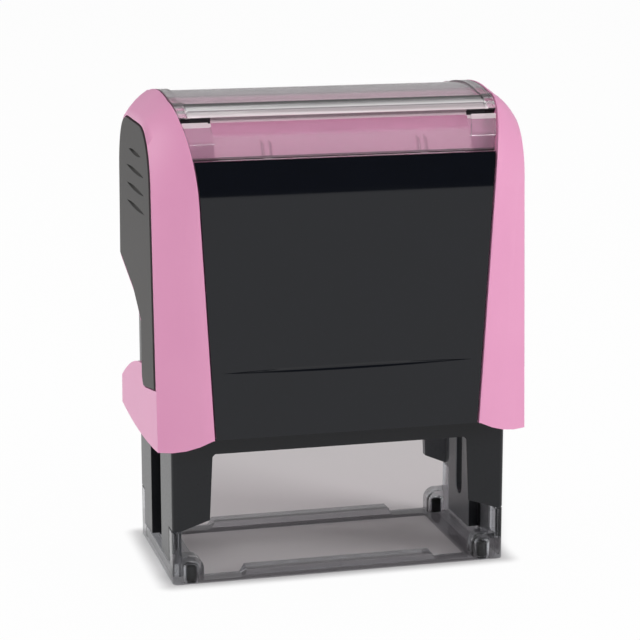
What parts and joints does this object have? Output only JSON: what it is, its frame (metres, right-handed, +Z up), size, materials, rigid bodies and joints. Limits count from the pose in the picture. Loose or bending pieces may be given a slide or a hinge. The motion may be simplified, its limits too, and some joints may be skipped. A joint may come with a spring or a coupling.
{
  "type": "self inking stamp",
  "caption": "Self-inking office stamp: a sprung arched cap slides down over a black frame on a clear foot and turns a die from its ink pad to the paper.",
  "frame": {"origin": "on the floor under the middle of the stamp", "axes": "+X across the imprint to the right as seen from the front, +Y from the front panel to the back, +Z up along the press stroke"},
  "size_m": [0.0706, 0.044, 0.0897],
  "materials": {
    "frame": "satin black moulding",
    "base_foot": "smoky clear",
    "foot_rubber": "matte",
    "spring_steel": "drawn wire",
    "cap": "satin moulding",
    "panel": "polished",
    "grip": "soft touch",
    "mechanism": "plain moulding",
    "card": "paper",
    "window": "smoky clear",
    "cushion": "foam",
    "die": "matte",
    "felt": "inked felt"
  },
  "bodies": {
    "stand": {"frame": "frame", "base_foot": "base_foot", "foot_front_left": "foot_rubber", "foot_front_right": "foot_rubber", "foot_rear_left": "foot_rubber", "foot_rear_right": "foot_rubber", "return_spring": "spring_steel"},
    "cap": {"cap_shell": "cap", "front_panel": "panel", "rear_panel": "panel", "left_grip": "grip", "right_grip": "grip", "yoke": "mechanism", "imprint_card": "card"},
    "rotor": {"die_carrier": "mechanism", "die_cushion": "cushion", "die_rubber": "die"},
    "cartridge": {"pad_tray": "mechanism", "ink_pad": "felt"},
    "lock": {"lock_button": "mechanism"},
    "window": {"top_window": "window"}
  },
  "joints": [
    {"name": "press", "type": "slide", "parent": "stand", "child": "cap", "axis": [0, 0, -1], "range_m": [0, 0.0225], "stiffness_N_per_m": 500, "springref_m": -0.01, "deforming": ["return_spring"]},
    {"name": "die_flip", "type": "hinge", "parent": "cap", "child": "rotor", "pos_m": [0, 0, 0.0327], "axis": [1, 0, 0], "range_deg": [0, 180]},
    {"name": "cartridge_slide", "type": "slide", "parent": "stand", "child": "cartridge", "axis": [0, 1, 0], "range_m": [0, 0.038]},
    {"name": "lock_push", "type": "slide", "parent": "cap", "child": "lock", "axis": [0, -1, 0], "range_m": [0, 0.0012]},
    {"name": "window_lift", "type": "slide", "parent": "cap", "child": "window", "axis": [0, 0, 1], "range_m": [0, 0.013]}
  ],
  "couplings": [
    {"joint": "die_flip", "follows": "press", "rad_per_m": 139.63}
  ]
}
